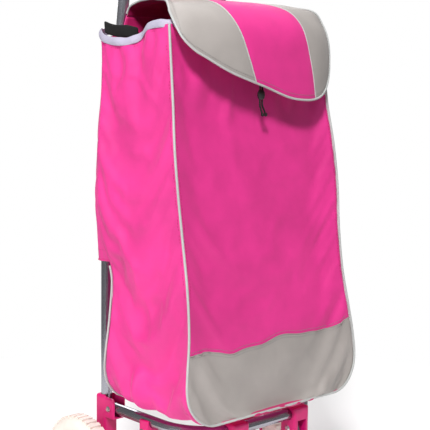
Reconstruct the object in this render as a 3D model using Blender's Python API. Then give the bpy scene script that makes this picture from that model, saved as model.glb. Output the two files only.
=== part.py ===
"""Folding shopping trolley: a tube frame on two wheels that carries a soft bag with a flap."""
import math

import bmesh
import bpy
from mathutils import Matrix, Vector

# Driving dimensions, in metres. X is across the trolley, -Y is its front and +Z is up.
FOOTPRINT_SHIFT = -0.0286
TUBE_RADIUS = 0.008
CLEARANCE = 0.0004
UPRIGHT_X = 0.1235
UPRIGHT_Y = 0.120
UPRIGHT_FOOT_Z = 0.100
UPRIGHT_BEND_Z = 0.460
UPRIGHT_TOP_Z = 0.840
UPRIGHT_TAPER = math.tan(math.radians(6.0))
HANDLE_TOP_Z = 0.985
HANDLE_BEND = 0.026
GRIP_RADIUS = 0.0145
FERRULE_Z = (0.822, 0.858)
LOWER_BAR = (0.365, 0.005)
UPPER_BAR = (0.800, 0.006)

WHEEL_X = 0.1675
WHEEL_RADIUS = 0.075
WHEEL_WIDTH = 0.032
RIM_RADIUS = 0.050
AXLE_RADIUS = 0.004
AXLE_Z = WHEEL_RADIUS
HUB_HALF = 0.019
SPACER_RADIUS = 0.0075
CAP_RADIUS = 0.010
CAP_DEPTH = 0.0045
HUB_HOLES = 6
HUB_HOLE_RADIUS = 0.0095
HUB_HOLE_CIRCLE = 0.028

RAIL_X = UPRIGHT_X
RAIL_Z = 0.157
PIVOT_Y = 0.1015
RAIL_END_Y = 0.1067
CROSSBAR_Y = -0.083
PLATFORM_BEND = 0.0755
RIVET_RADIUS = 0.0025
RIVET_HEAD = 0.0045
SLOT_HALF = TUBE_RADIUS + 0.0006
BRACKET_HALF = 0.0115
BRACKET_Z = (0.062, 0.175)
FORK_FRONT_Y = 0.0895
FORK_Z = (0.1425, 0.1735)
FORK_SLOT = (0.114, 0.146)

SOCKET_X = 0.060
SOCKET_Y = CROSSBAR_Y
SOCKET_HALF = 0.0145
SOCKET_BOTTOM_Z = 0.1235
STAND_PIVOT_Z = 0.1365
STAND_LEAN = math.radians(20.0)
STAND_BEND = 0.024
CLIP_Y = 0.0215
CLIP_HALF_LENGTH = 0.0090
CLIP_Z = (0.107, 0.160)
CLIP_GAP_TOP_Z = 0.136

BAG_BOTTOM_Z = 0.180
BAG_TOP_Z = 0.700
BAG_WIDTH = (0.334, 0.300)
BAG_FRONT_Y = (-0.112, -0.050)
BAG_BACK_Y = (0.070, 0.104)
BAG_BACK_STEP_Z = (0.350, 0.430)
BAG_CORNER = 0.030
CLOTH = 0.003
BOARD_HALF_WIDTH = 0.108
BOARD_INSET = 0.034
PANEL_HEIGHT = 0.085
COLLAR_TOP_Z = 0.7100
COLLAR_CLOTH = 0.002
SLEEVE_X = (0.084, 0.149)
SLEEVE_Y = (0.1065, 0.1335)
SLEEVE_Z = (0.378, 0.680)
STRAP_X = (0.1438, 0.1464)
STRAP_Y = (0.012, 0.072)
STRAP_Z = (0.6985, 0.7110)
TAB_HALF_WIDTH = 0.060
TAB_Z = (0.650, 0.822)
SNAP_X = 0.035
SNAP_Z = 0.812

FLAP_HINGE = (0.098, 0.712)
FLAP_HALF_WIDTH = 0.156
FLAP_THICKNESS = 0.0025

CORD_RADIUS = 0.0013
CORD_X = 0.0022
CORD_MIDDLE_X = -0.0065
LOCK_Z = (0.604, 0.617)
CORD_END_Z = 0.583


def clear_scene():
    for item in list(bpy.data.objects):
        bpy.data.objects.remove(item, do_unlink=True)


def paint(item, colour, roughness, metallic=0.0):
    """Give an object its own Principled BSDF material."""
    material = bpy.data.materials.new(item.name + "_material")
    material.use_nodes = True
    shader = material.node_tree.nodes["Principled BSDF"]
    shader.inputs["Base Color"].default_value = (*colour, 1.0)
    shader.inputs["Roughness"].default_value = roughness
    shader.inputs["Metallic"].default_value = metallic
    item.data.materials.clear()
    item.data.materials.append(material)
    return item


def steel(item):
    return paint(item, (0.72, 0.73, 0.75), 0.25, 1.0)


def chrome(item):
    return paint(item, (0.85, 0.85, 0.86), 0.15, 1.0)


def pink_plastic(item):
    return paint(item, (0.62, 0.003, 0.16), 0.4)


def pink_cloth(item):
    return paint(item, (0.80, 0.06, 0.30), 0.7)


def black_plastic(item):
    return paint(item, (0.012, 0.010, 0.011), 0.5)


def link(name, data, place=(0.0, 0.0, 0.0)):
    item = bpy.data.objects.new(name, data)
    item.location = place
    bpy.context.scene.collection.objects.link(item)
    return item


def mesh_object(name, bm, place=(0.0, 0.0, 0.0)):
    bmesh.ops.recalc_face_normals(bm, faces=bm.faces)
    mesh = bpy.data.meshes.new(name)
    bm.to_mesh(mesh)
    bm.free()
    return link(name, mesh, place)


def box(name, low, high, place=(0.0, 0.0, 0.0)):
    """A box between two world corners, with its origin at place."""
    size = Vector(high) - Vector(low)
    middle = (Vector(high) + Vector(low)) / 2 - Vector(place)
    bm = bmesh.new()
    stretch = Matrix.Diagonal((*size, 1.0))
    bmesh.ops.create_cube(bm, size=1.0, matrix=Matrix.Translation(middle) @ stretch)
    return mesh_object(name, bm, place)


def rod(name, start, end, radius, steps=32, place=(0.0, 0.0, 0.0)):
    """A straight cylinder from start to end."""
    along = Vector(end) - Vector(start)
    turn = Vector((0, 0, 1)).rotation_difference(along).to_matrix().to_4x4()
    middle = (Vector(start) + Vector(end)) / 2 - Vector(place)
    bm = bmesh.new()
    bmesh.ops.create_cone(
        bm, cap_ends=True, segments=steps, radius1=radius, radius2=radius, depth=along.length,
        matrix=Matrix.Translation(middle) @ turn,
    )
    return mesh_object(name, bm, place)


def lathe(name, outline, centre, steps=64):
    """Turn an outline of (x, radius) points into a ring about the X axis, with its origin at centre."""
    bm = bmesh.new()
    points = [bm.verts.new((x, 0.0, radius)) for x, radius in outline]
    edges = [bm.edges.new((a, b)) for a, b in zip(points, points[1:] + points[:1])]
    bmesh.ops.spin(
        bm, geom=points + edges, cent=(0, 0, 0), axis=(1, 0, 0), angle=math.tau, steps=steps,
        use_duplicate=False,
    )
    bmesh.ops.remove_doubles(bm, verts=bm.verts, dist=0.00002)
    return mesh_object(name, bm, centre)


def tube(name, route, radius, place=(0.0, 0.0, 0.0), resolution=6):
    """A solid round bar along a list of points, as a bevelled curve with filled caps."""
    curve = bpy.data.curves.new(name, "CURVE")
    curve.dimensions = "3D"
    curve.bevel_depth = radius
    curve.bevel_resolution = resolution
    curve.use_fill_caps = True
    spline = curve.splines.new("POLY")
    spline.points.add(len(route) - 1)
    for point, at in zip(spline.points, route):
        point.co = (*(Vector(at) - Vector(place)), 1.0)
    return link(name, curve, place)


def rounded(corners, radius, steps=10):
    """A route through corners, with each inner corner rounded as an arc."""
    route = [Vector(corners[0])]
    for before, corner, after in zip(corners, corners[1:], corners[2:]):
        here = Vector(corner)
        back = (Vector(before) - here).normalized()
        ahead = (Vector(after) - here).normalized()
        half = back.angle(ahead) / 2
        centre = here + (back + ahead).normalized() * radius / math.sin(half)
        reach = radius / math.tan(half)
        first = (here + back * reach - centre).normalized()
        last = (here + ahead * reach - centre).normalized()
        for step in range(steps + 1):
            route.append(centre + first.slerp(last, step / steps) * radius)
    route.append(Vector(corners[-1]))
    return route


def smooth_route(points, parts=4):
    """A Catmull-Rom curve through the points."""
    padded = [Vector(points[0])] + [Vector(at) for at in points] + [Vector(points[-1])]
    route = []
    for a, b, c, d in zip(padded, padded[1:], padded[2:], padded[3:]):
        for part in range(parts):
            t = part / parts
            square = (2 * a - 5 * b + 4 * c - d) * t ** 2
            cube = (3 * b - a - 3 * c + d) * t ** 3
            route.append(0.5 * (2 * b + (c - a) * t + square + cube))
    route.append(Vector(points[-1]))
    return route


def as_mesh(item):
    """Turn a curve object into a mesh object, so that modifiers can cut it."""
    graph = bpy.context.evaluated_depsgraph_get()
    graph.update()
    mesh = bpy.data.meshes.new_from_object(item.evaluated_get(graph))
    name, place = item.name, item.location.copy()
    curve = item.data
    bpy.data.objects.remove(item, do_unlink=True)
    bpy.data.curves.remove(curve)
    return link(name, mesh, place)


def bevel(item, width, segments=2):
    modifier = item.modifiers.new("Rounded edges", "BEVEL")
    modifier.width = width
    modifier.segments = segments
    modifier.limit_method = "ANGLE"
    return item


def combine(item, other, operation):
    """Join or cut with another object, which stays hidden as a tool."""
    modifier = item.modifiers.new(other.name, "BOOLEAN")
    modifier.operation = operation
    modifier.object = other
    modifier.solver = "EXACT"
    other.hide_render = True
    other.display_type = "WIRE"
    return item


def cut(item, other):
    return combine(item, other, "DIFFERENCE")


def join(item, other):
    return combine(item, other, "UNION")


def bridge(bm, rings, closed=False):
    """Skin a row of equal rings, with a cap on the first and the last unless the row is closed."""
    pairs = list(zip(rings, rings[1:]))
    if closed:
        pairs.append((rings[-1], rings[0]))
    for low, high in pairs:
        count = len(low)
        for at in range(count):
            after = (at + 1) % count
            bm.faces.new((low[at], low[after], high[after], high[at]))
    if not closed:
        bm.faces.new(list(reversed(rings[0])))
        bm.faces.new(rings[-1])


def rivet(name, centre, half, head=RIVET_HEAD):
    """A pin along X with a domed head just past half its length at each end."""
    dome = 0.0016
    inner = half + CLEARANCE
    outline = (
        (-inner - dome, head * 0.6), (-inner, head), (-inner, RIVET_RADIUS),
        (inner, RIVET_RADIUS), (inner, head), (inner + dome, head * 0.6),
    )
    steps = 20
    bm = bmesh.new()
    rings = []
    for x, radius in outline:
        ring = []
        for step in range(steps):
            turn = math.tau * step / steps
            around = Vector((x, radius * math.cos(turn), radius * math.sin(turn)))
            ring.append(bm.verts.new(Vector(centre) + around))
        rings.append(ring)
    bridge(bm, rings)
    return chrome(mesh_object(name, bm))


def drill(item, name, centre, radius, steps=32, reach=0.02):
    """Cut a hole along X through an object."""
    start = Vector(centre) - Vector((reach, 0, 0))
    end = Vector(centre) + Vector((reach, 0, 0))
    return cut(item, rod(name, start, end, radius + CLEARANCE, steps))


def upright_x(z):
    return UPRIGHT_X - max(0.0, z - UPRIGHT_BEND_Z) * UPRIGHT_TAPER


def upright_route(side, low, high):
    """The centre line of one upright between two heights."""
    corners = [(side * upright_x(z), UPRIGHT_Y, z) for z in (low, UPRIGHT_BEND_Z, high)]
    return rounded(corners, 0.25, 6)


def make_uprights():
    for side, word in ((-1, "left"), (1, "right")):
        upright = tube(word + "_upright", upright_route(side, UPRIGHT_FOOT_Z, UPRIGHT_TOP_Z), TUBE_RADIUS)
        steel(upright)


def make_handle():
    low_z = UPRIGHT_TOP_Z + CLEARANCE
    half = upright_x(HANDLE_TOP_Z)
    corners = [
        (-upright_x(low_z), UPRIGHT_Y, low_z), (-half, UPRIGHT_Y, HANDLE_TOP_Z),
        (half, UPRIGHT_Y, HANDLE_TOP_Z), (upright_x(low_z), UPRIGHT_Y, low_z),
    ]
    steel(tube("handle_tube", rounded(corners, HANDLE_BEND, 12), TUBE_RADIUS))
    for side, word in ((-1, "left"), (1, "right")):
        low, high = (Vector((side * upright_x(z), UPRIGHT_Y, z)) for z in FERRULE_Z)
        bore = rod(word + "_ferrule_bore", low * 2 - high, high * 2 - low, TUBE_RADIUS + CLEARANCE)
        ferrule = rod(word + "_ferrule", low, high, TUBE_RADIUS + 0.0035)
        pink_plastic(cut(bevel(ferrule, 0.0015), bore))
    length = half - HANDLE_BEND * 1.16
    grip = rod("grip", (-length, UPRIGHT_Y, HANDLE_TOP_Z), (length, UPRIGHT_Y, HANDLE_TOP_Z), GRIP_RADIUS)
    bevel(grip, 0.004, 3)
    centre = (0.0, UPRIGHT_Y, HANDLE_TOP_Z)
    black_plastic(drill(grip, "grip_bore", centre, TUBE_RADIUS, reach=length + 0.01))


def make_crossbars():
    for word, (z, radius) in (("lower", LOWER_BAR), ("upper", UPPER_BAR)):
        half = upright_x(z) - TUBE_RADIUS * 1.006 - 2 * CLEARANCE
        steel(rod(word + "_crossbar", (-half, UPRIGHT_Y, z), (half, UPRIGHT_Y, z), radius))


def make_brackets():
    """Each bracket holds an upright, the axle, and the fork that a platform rail turns in."""
    for side, word in ((-1, "left"), (1, "right")):
        name = word + "_bracket"
        centre = side * UPRIGHT_X
        low_x, high_x = centre - BRACKET_HALF, centre + BRACKET_HALF
        low = (low_x, UPRIGHT_Y - BRACKET_HALF, BRACKET_Z[0])
        high = (high_x, UPRIGHT_Y + BRACKET_HALF, BRACKET_Z[1])
        body = bevel(box(name, low, high), 0.004, 3)
        fork = box(name + "_fork", (low_x, FORK_FRONT_Y, FORK_Z[0]), (high_x, UPRIGHT_Y, FORK_Z[1]))
        join(body, bevel(fork, 0.003))
        low = (centre - SLOT_HALF, FORK_FRONT_Y - 0.01, FORK_SLOT[1])
        high = (centre + SLOT_HALF, FORK_SLOT[0], FORK_Z[1] + 0.02)
        cut(body, box(name + "_slot", low, high))
        low = (centre, UPRIGHT_Y, UPRIGHT_FOOT_Z - CLEARANCE)
        high = (centre, UPRIGHT_Y, BRACKET_Z[1] + 0.02)
        cut(body, rod(name + "_socket", low, high, TUBE_RADIUS + CLEARANCE))
        drill(body, name + "_axle_bore", (centre, UPRIGHT_Y, AXLE_Z), AXLE_RADIUS)
        pivot = (centre, PIVOT_Y, RAIL_Z)
        pink_plastic(drill(body, name + "_rivet_bore", pivot, RIVET_RADIUS))
        rivet(word + "_platform_rivet", pivot, BRACKET_HALF)


def make_axle_and_wheels():
    cap_inner = WHEEL_X + HUB_HALF + CLEARANCE
    cap_outer = cap_inner + CAP_DEPTH
    axle_end = cap_outer - CLEARANCE
    steel(rod("axle", (-axle_end, UPRIGHT_Y, AXLE_Z), (axle_end, UPRIGHT_Y, AXLE_Z), AXLE_RADIUS, 24))
    inner = UPRIGHT_X + BRACKET_HALF + CLEARANCE
    outer = WHEEL_X - HUB_HALF - CLEARANCE
    bore = AXLE_RADIUS + CLEARANCE
    for side, word in ((-1, "left"), (1, "right")):
        outline = [(inner, bore), (outer, bore), (outer, SPACER_RADIUS), (inner, SPACER_RADIUS)]
        outline = [(side * x, radius) for x, radius in outline]
        chrome(lathe(word + "_axle_spacer", outline, (0, UPRIGHT_Y, AXLE_Z), 32))
        centre = (side * WHEEL_X, UPRIGHT_Y, AXLE_Z)
        make_tyre(word, centre)
        make_hub(word, centre)
        outline = [
            (cap_inner, bore), (cap_outer, bore), (cap_outer, 0.0), (cap_outer + 0.003, 0.0),
            (cap_outer + 0.003, CAP_RADIUS * 0.6), (cap_outer, CAP_RADIUS), (cap_inner, CAP_RADIUS),
        ]
        outline = [(side * x, radius) for x, radius in outline]
        chrome(lathe(word + "_axle_cap", outline, (0, UPRIGHT_Y, AXLE_Z), 32))


def make_tyre(word, centre):
    half = WHEEL_WIDTH / 2
    shoulder = [(half, 0.007), (half - 0.002, 0.003), (half - 0.007, 0.0)]
    outline = [(-half, RIM_RADIUS)] + [(-x, WHEEL_RADIUS - drop) for x, drop in shoulder]
    outline += [(x, WHEEL_RADIUS - drop) for x, drop in reversed(shoulder)] + [(half, RIM_RADIUS)]
    paint(lathe(word + "_tyre", outline, centre), (0.80, 0.74, 0.66), 0.55)


def make_hub(word, centre):
    """A rim and a boss on a thin web that has a ring of round holes."""
    rim = RIM_RADIUS - CLEARANCE
    right = [
        (HUB_HALF, AXLE_RADIUS + CLEARANCE), (HUB_HALF, 0.012), (0.004, 0.014),
        (0.004, rim - 0.007), (0.0155, rim - 0.005), (0.0155, rim),
    ]
    left = [(-x, radius) for x, radius in reversed(right)]
    hub = lathe(word + "_hub", left + right, centre)
    for hole in range(HUB_HOLES):
        turn = math.tau * (hole + 0.5) / HUB_HOLES
        middle = Vector(centre) + Vector((0, math.cos(turn), math.sin(turn))) * HUB_HOLE_CIRCLE
        drill(hub, "%s_hub_hole_%d" % (word, hole), middle, HUB_HOLE_RADIUS - CLEARANCE, 24)
    pink_plastic(hub)


def make_platform():
    """A U of tube that turns up about the rivets in the brackets."""
    corners = [
        (-RAIL_X, RAIL_END_Y, RAIL_Z), (-RAIL_X, CROSSBAR_Y, RAIL_Z),
        (RAIL_X, CROSSBAR_Y, RAIL_Z), (RAIL_X, RAIL_END_Y, RAIL_Z),
    ]
    route = rounded(corners, PLATFORM_BEND, 14)
    pivot = (0.0, PIVOT_Y, RAIL_Z)
    platform = as_mesh(tube("platform_tube", route, TUBE_RADIUS, pivot))
    steel(drill(platform, "platform_bore", pivot, RIVET_RADIUS, reach=0.2))
    wide = as_mesh(tube("socket_tube_cutter", route, TUBE_RADIUS + CLEARANCE))
    for side, word in ((-1, "left"), (1, "right")):
        make_socket(side, word, wide, pivot)
        make_clip(side, word, pivot)


def make_socket(side, word, wide, pivot):
    """A block round the crossbar that a leg of the stand turns in."""
    centre = side * SOCKET_X
    low = (centre - SOCKET_HALF, SOCKET_Y - SOCKET_HALF, SOCKET_BOTTOM_Z)
    high = (centre + SOCKET_HALF, SOCKET_Y + SOCKET_HALF, RAIL_Z + BRACKET_HALF)
    socket = bevel(box(word + "_stand_socket", low, high, pivot), 0.003)
    cut(socket, wide)
    low = (centre - SLOT_HALF, SOCKET_Y - 0.03, SOCKET_BOTTOM_Z - 0.02)
    high = (centre + SLOT_HALF, SOCKET_Y + 0.03, RAIL_Z - TUBE_RADIUS)
    cut(socket, box(word + "_socket_slot", low, high))
    pin = (centre, SOCKET_Y, STAND_PIVOT_Z)
    pink_plastic(drill(socket, word + "_socket_bore", pin, RIVET_RADIUS, 24))
    rivet(word + "_stand_pin", pin, SOCKET_HALF)


def make_clip(side, word, pivot):
    """A block that a rail lies in the top of, with two cheeks below that grip a rod."""
    centre = side * RAIL_X
    low = (centre - BRACKET_HALF, CLIP_Y - CLIP_HALF_LENGTH, CLIP_Z[0])
    high = (centre + BRACKET_HALF, CLIP_Y + CLIP_HALF_LENGTH, CLIP_Z[1])
    clip = bevel(box(word + "_bag_clip", low, high, pivot), 0.0015)
    start = (centre, CLIP_Y - 0.03, RAIL_Z)
    end = (centre, CLIP_Y + 0.03, RAIL_Z)
    cut(clip, rod(word + "_clip_bore", start, end, TUBE_RADIUS + CLEARANCE))
    low = (centre - TUBE_RADIUS, CLIP_Y - 0.03, CLIP_Z[0] - 0.02)
    high = (centre + TUBE_RADIUS, CLIP_Y + 0.03, CLIP_GAP_TOP_Z)
    cut(clip, box(word + "_clip_gap", low, high))
    pin = (centre, CLIP_Y + 0.0030, RAIL_Z - 0.0140)
    pink_plastic(drill(clip, word + "_clip_rivet_bore", pin, RIVET_RADIUS, 24))
    rivet(word + "_clip_rivet", pin, BRACKET_HALF, RIVET_HEAD * 0.93)


def make_stand():
    """A U of tube that stands on the floor and turns back under the platform."""
    drop = STAND_PIVOT_Z - TUBE_RADIUS
    toe_y = SOCKET_Y - drop * math.tan(STAND_LEAN)
    over = TUBE_RADIUS * 0.9
    head_y = SOCKET_Y + over * math.sin(STAND_LEAN)
    head_z = STAND_PIVOT_Z + over * math.cos(STAND_LEAN)
    corners = [
        (-SOCKET_X, head_y, head_z), (-SOCKET_X, toe_y, TUBE_RADIUS),
        (SOCKET_X, toe_y, TUBE_RADIUS), (SOCKET_X, head_y, head_z),
    ]
    pivot = (0.0, SOCKET_Y, STAND_PIVOT_Z)
    stand = as_mesh(tube("stand_tube", rounded(corners, STAND_BEND, 8), TUBE_RADIUS, pivot))
    steel(drill(stand, "stand_bore", pivot, RIVET_RADIUS, 24, 0.2))


def blend_between(pair, t):
    return pair[0] + (pair[1] - pair[0]) * min(max(t, 0.0), 1.0)


def bag_section(z):
    """Half width, front Y and back Y of the bag at a height."""
    rise = (z - BAG_BOTTOM_Z) / (BAG_TOP_Z - BAG_BOTTOM_Z)
    step = (z - BAG_BACK_STEP_Z[0]) / (BAG_BACK_STEP_Z[1] - BAG_BACK_STEP_Z[0])
    smooth = min(max(step, 0.0), 1.0)
    smooth = smooth * smooth * (3 - 2 * smooth)
    half = blend_between(BAG_WIDTH, rise) / 2
    return half, blend_between(BAG_FRONT_Y, rise), blend_between(BAG_BACK_Y, smooth)


def bag_ring(bm, z, inset, arc=6):
    """One horizontal ring of the bag: a rectangle with round corners, moved in by inset."""
    half, front, back = bag_section(z)
    half -= inset
    front += inset
    back -= inset
    radius = max(BAG_CORNER - inset, 0.006)
    ring = []
    for sx, y, turn in ((1, back, 0), (-1, back, 1), (-1, front, 2), (1, front, 3)):
        centre = Vector((sx * (half - radius), y - radius if turn < 2 else y + radius, z))
        for step in range(arc + 1):
            angle = math.pi / 2 * (turn + step / arc)
            offset = Vector((math.cos(angle), math.sin(angle), 0.0)) * radius
            ring.append(bm.verts.new(centre + offset))
    return ring


def make_bag():
    """The open bag: its outer skin up to the rim, then its inner skin down to the floor."""
    bm = bmesh.new()
    foot = ((0.0, 0.034), (0.004, 0.018), (0.012, 0.007), (0.024, 0.001))
    floor = ((0.024, 0.001), (0.013, 0.007), (0.006, 0.018))
    low_z = BAG_BOTTOM_Z + 0.045
    levels = 12
    heights = [low_z + (BAG_TOP_Z - low_z) * level / levels for level in range(levels + 1)]
    rings = [bag_ring(bm, BAG_BOTTOM_Z + rise, inset) for rise, inset in foot]
    rings += [bag_ring(bm, z, 0.0) for z in heights]
    rings += [bag_ring(bm, z, CLOTH) for z in reversed(heights)]
    rings += [bag_ring(bm, BAG_BOTTOM_Z + rise, CLOTH + inset) for rise, inset in floor]
    bridge(bm, rings)
    pink_cloth(mesh_object("bag_body", bm))


def make_base_board():
    half, front, back = bag_section(BAG_BOTTOM_Z)
    board_z = BAG_BOTTOM_Z + 0.0075
    low = (-BOARD_HALF_WIDTH, front + BOARD_INSET, board_z)
    high = (BOARD_HALF_WIDTH, back - BOARD_INSET, board_z + 0.003)
    paint(box("base_board", low, high, (0.0, PIVOT_Y, RAIL_Z)), (0.03, 0.03, 0.032), 0.8)


def make_lower_panel():
    """The grey cloth sewn over the foot of the bag's front."""
    bm = bmesh.new()
    rings = []
    levels = 5
    for level in range(levels + 1):
        z = BAG_BOTTOM_Z + 0.026 + PANEL_HEIGHT * level / levels
        half, front, back = bag_section(z)
        x = half - BAG_CORNER - 0.002
        near = front - CLEARANCE
        far = near - 0.0015
        corners = ((-x, near, z), (x, near, z), (x, far, z), (-x, far, z))
        rings.append([bm.verts.new(at) for at in corners])
    bridge(bm, rings)
    paint(mesh_object("front_lower_panel", bm), (0.42, 0.38, 0.36), 0.8)


def make_collar():
    """The loose band above the rim, and the two hook-and-loop straps inside it."""
    bm = bmesh.new()
    low_z = BAG_TOP_Z + CLEARANCE
    skins = (CLEARANCE, CLEARANCE + COLLAR_CLOTH)
    rings = [bag_ring(bm, low_z, skins[0]), bag_ring(bm, COLLAR_TOP_Z, skins[0])]
    rings += [bag_ring(bm, COLLAR_TOP_Z, skins[1]), bag_ring(bm, low_z, skins[1])]
    bridge(bm, rings, closed=True)
    paint(mesh_object("collar", bm), (0.66, 0.60, 0.76), 0.6)
    for side, word in ((-1, "left"), (1, "right")):
        low_x, high_x = sorted(side * x for x in STRAP_X)
        low = (low_x, STRAP_Y[0], STRAP_Z[0])
        high = (high_x, STRAP_Y[1], STRAP_Z[1])
        strap = box(word + "_fastening_strap", low, high)
        paint(bevel(strap, 0.0006, 1), (0.012, 0.010, 0.011), 0.95)


def make_sleeves():
    """The pockets behind the bag that the uprights run through."""
    for side, word in ((-1, "left"), (1, "right")):
        low_x, high_x = sorted(side * x for x in SLEEVE_X)
        low = (low_x, SLEEVE_Y[0], SLEEVE_Z[0])
        high = (high_x, SLEEVE_Y[1], SLEEVE_Z[1])
        sleeve = bevel(box(word + "_sleeve", low, high), 0.006, 3)
        route = upright_route(side, SLEEVE_Z[0] - 0.02, SLEEVE_Z[1] + 0.02)
        channel = tube(word + "_sleeve_channel", route, SLOT_HALF)
        pink_cloth(cut(sleeve, as_mesh(channel)))


def make_hanging_tab():
    """The wide tab that hangs the bag from the upper crossbar, with its two snap fasteners."""
    back = UPRIGHT_Y - UPPER_BAR[1] - 0.0005 - CLEARANCE
    front = back - 0.0025
    tab = box("hanging_tab", (-TAB_HALF_WIDTH, front, TAB_Z[0]), (TAB_HALF_WIDTH, back, TAB_Z[1]))
    pink_cloth(bevel(tab, 0.001, 1))
    for x, word in ((-SNAP_X, "left"), (SNAP_X, "right")):
        low = (x, front - 0.0025, SNAP_Z)
        high = (x, front - CLEARANCE, SNAP_Z)
        chrome(rod(word + "_tab_snap", low, high, 0.006, 24))


def flap_route(x):
    """The flap's section at one X, from its hinge over the top and down to the hem."""
    share = abs(x) / FLAP_HALF_WIDTH
    droop = 0.011 * share ** 4
    hem = 0.612 + 0.052 * share ** 2.4
    pull = 0.010 * share ** 3
    return [
        Vector((x, FLAP_HINGE[0], FLAP_HINGE[1] + 0.0036)),
        Vector((x, 0.088, 0.7240 - droop * 0.5)),
        Vector((x, 0.060, 0.7330 - droop)),
        Vector((x, 0.020, 0.7370 - droop)),
        Vector((x, -0.020, 0.7340 - droop)),
        Vector((x, -0.050 + pull, 0.7245 - droop)),
        Vector((x, -0.068 + pull * 0.6, 0.7060 - droop)),
        Vector((x, -0.0770, 0.6850)),
        Vector((x, -0.0800, (0.6850 + hem) / 2)),
        Vector((x, -0.0810, hem)),
    ]


def make_flap():
    columns = 20
    bm = bmesh.new()
    rings = []
    for column in range(columns + 1):
        x = FLAP_HALF_WIDTH * (2 * column / columns - 1)
        lining = flap_route(x)
        face = []
        for at, point in enumerate(lining):
            before = lining[max(at - 1, 0)]
            after = lining[min(at + 1, len(lining) - 1)]
            along = (after - before).normalized()
            face.append(point + Vector((0.0, along.z, -along.y)) * FLAP_THICKNESS)
        rings.append([bm.verts.new(at) for at in lining + face[::-1]])
    bridge(bm, rings)
    bmesh.ops.translate(bm, verts=bm.verts, vec=(0.0, -FLAP_HINGE[0], -FLAP_HINGE[1]))
    pink_cloth(mesh_object("flap", bm, (0.0, *FLAP_HINGE)))


def make_drawstring():
    """Two cord ends that hang from the collar through a spring lock."""
    middle = bag_section(CORD_END_Z)[1] - 0.0050
    for side, word in ((-1, "left"), (1, "right")):
        stops = [
            (side * 0.0100, -0.0500, 0.7065), (side * 0.0099, -0.0528, 0.7060),
            (side * 0.0096, -0.0552, 0.7030), (side * 0.0086, -0.0580, 0.6920),
            (side * 0.0066, -0.0615, 0.6720), (side * 0.0044, -0.0650, 0.6500),
            (side * 0.0028, middle + 0.0010, 0.6330), (side * CORD_X, middle, 0.6235),
            (side * CORD_X, middle, 0.5985), (side * 0.0026 + 0.0022, middle, 0.5920),
            (side * 0.0030 + 0.0066, middle, CORD_END_Z),
        ]
        route = smooth_route([(CORD_MIDDLE_X + x, y, z) for x, y, z in stops])
        paint(tube(word + "_drawstring", route, CORD_RADIUS, resolution=2), (0.012, 0.010, 0.011), 0.8)
    half_x, half_y = 0.0060, 0.0042
    low = (CORD_MIDDLE_X - half_x, middle - half_y, LOCK_Z[0])
    high = (CORD_MIDDLE_X + half_x, middle + half_y, LOCK_Z[1])
    lock = bevel(box("cord_lock", low, high, (CORD_MIDDLE_X, middle, LOCK_Z[0])), 0.0016, 3)
    slot_x, slot_y = 0.0042, 0.0019
    low = (CORD_MIDDLE_X - slot_x, middle - slot_y, LOCK_Z[0] - 0.01)
    high = (CORD_MIDDLE_X + slot_x, middle + slot_y, LOCK_Z[1] + 0.01)
    black_plastic(cut(lock, box("lock_slot", low, high)))


def centre_footprint():
    """Hang everything on one empty, which brings the middle of the footprint to the origin."""
    trolley = link("trolley", None, (0.0, FOOTPRINT_SHIFT, 0.0))
    for item in bpy.data.objects:
        if item is not trolley:
            item.parent = trolley


clear_scene()
make_uprights()
make_handle()
make_crossbars()
make_brackets()
make_axle_and_wheels()
make_platform()
make_stand()
make_bag()
make_base_board()
make_lower_panel()
make_collar()
make_sleeves()
make_hanging_tab()
make_flap()
make_drawstring()
centre_footprint()
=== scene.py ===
import math

import bmesh
import bpy
from mathutils import Matrix, Vector, noise
from mathutils.bvhtree import BVHTree


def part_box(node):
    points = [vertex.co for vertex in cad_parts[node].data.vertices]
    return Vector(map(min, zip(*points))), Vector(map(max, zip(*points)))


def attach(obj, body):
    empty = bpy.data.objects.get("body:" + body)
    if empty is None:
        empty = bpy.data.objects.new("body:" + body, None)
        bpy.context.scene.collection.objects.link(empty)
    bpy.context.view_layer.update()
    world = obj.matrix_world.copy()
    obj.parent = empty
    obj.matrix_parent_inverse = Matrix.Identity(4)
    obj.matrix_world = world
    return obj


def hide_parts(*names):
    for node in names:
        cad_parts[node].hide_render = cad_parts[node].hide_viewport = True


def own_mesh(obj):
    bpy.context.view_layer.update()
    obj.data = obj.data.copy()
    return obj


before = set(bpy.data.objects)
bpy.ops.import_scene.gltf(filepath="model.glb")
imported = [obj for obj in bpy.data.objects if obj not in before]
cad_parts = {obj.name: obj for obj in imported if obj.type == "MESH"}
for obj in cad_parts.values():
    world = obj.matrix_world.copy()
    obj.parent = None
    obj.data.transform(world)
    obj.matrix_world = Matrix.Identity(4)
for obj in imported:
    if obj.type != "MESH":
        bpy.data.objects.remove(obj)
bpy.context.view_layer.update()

bpy.context.scene.view_settings.view_transform = "Standard"

lilac = (0.46, 0.43, 0.55)
pinkCloth = (0.76, 0.028, 0.262)
greyCloth = (0.39, 0.355, 0.335)
blackThread = (0.004, 0.004, 0.004)
silverPiping = (0.50, 0.51, 0.50)


def cornersOf(node):
    return [Vector(corner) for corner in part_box(node)]


def middleOf(node):
    low, high = cornersOf(node)
    return (low + high) / 2


uprightY = middleOf("left_upright").y
shift = uprightY - 0.120  # how far the whole trolley sits from the drawing's own zero in Y


def shaderOf(name):
    material = bpy.data.materials.new(name)
    material.use_nodes = True
    tree = material.node_tree
    return material, tree, tree.nodes["Principled BSDF"]


def noiseNode(tree, source, scale, detail=3.0, roughness=0.5):
    node = tree.nodes.new("ShaderNodeTexNoise")
    node.inputs["Scale"].default_value = scale
    node.inputs["Detail"].default_value = detail
    node.inputs["Roughness"].default_value = roughness
    tree.links.new(source, node.inputs["Vector"])
    return node.outputs["Fac"]


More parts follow.
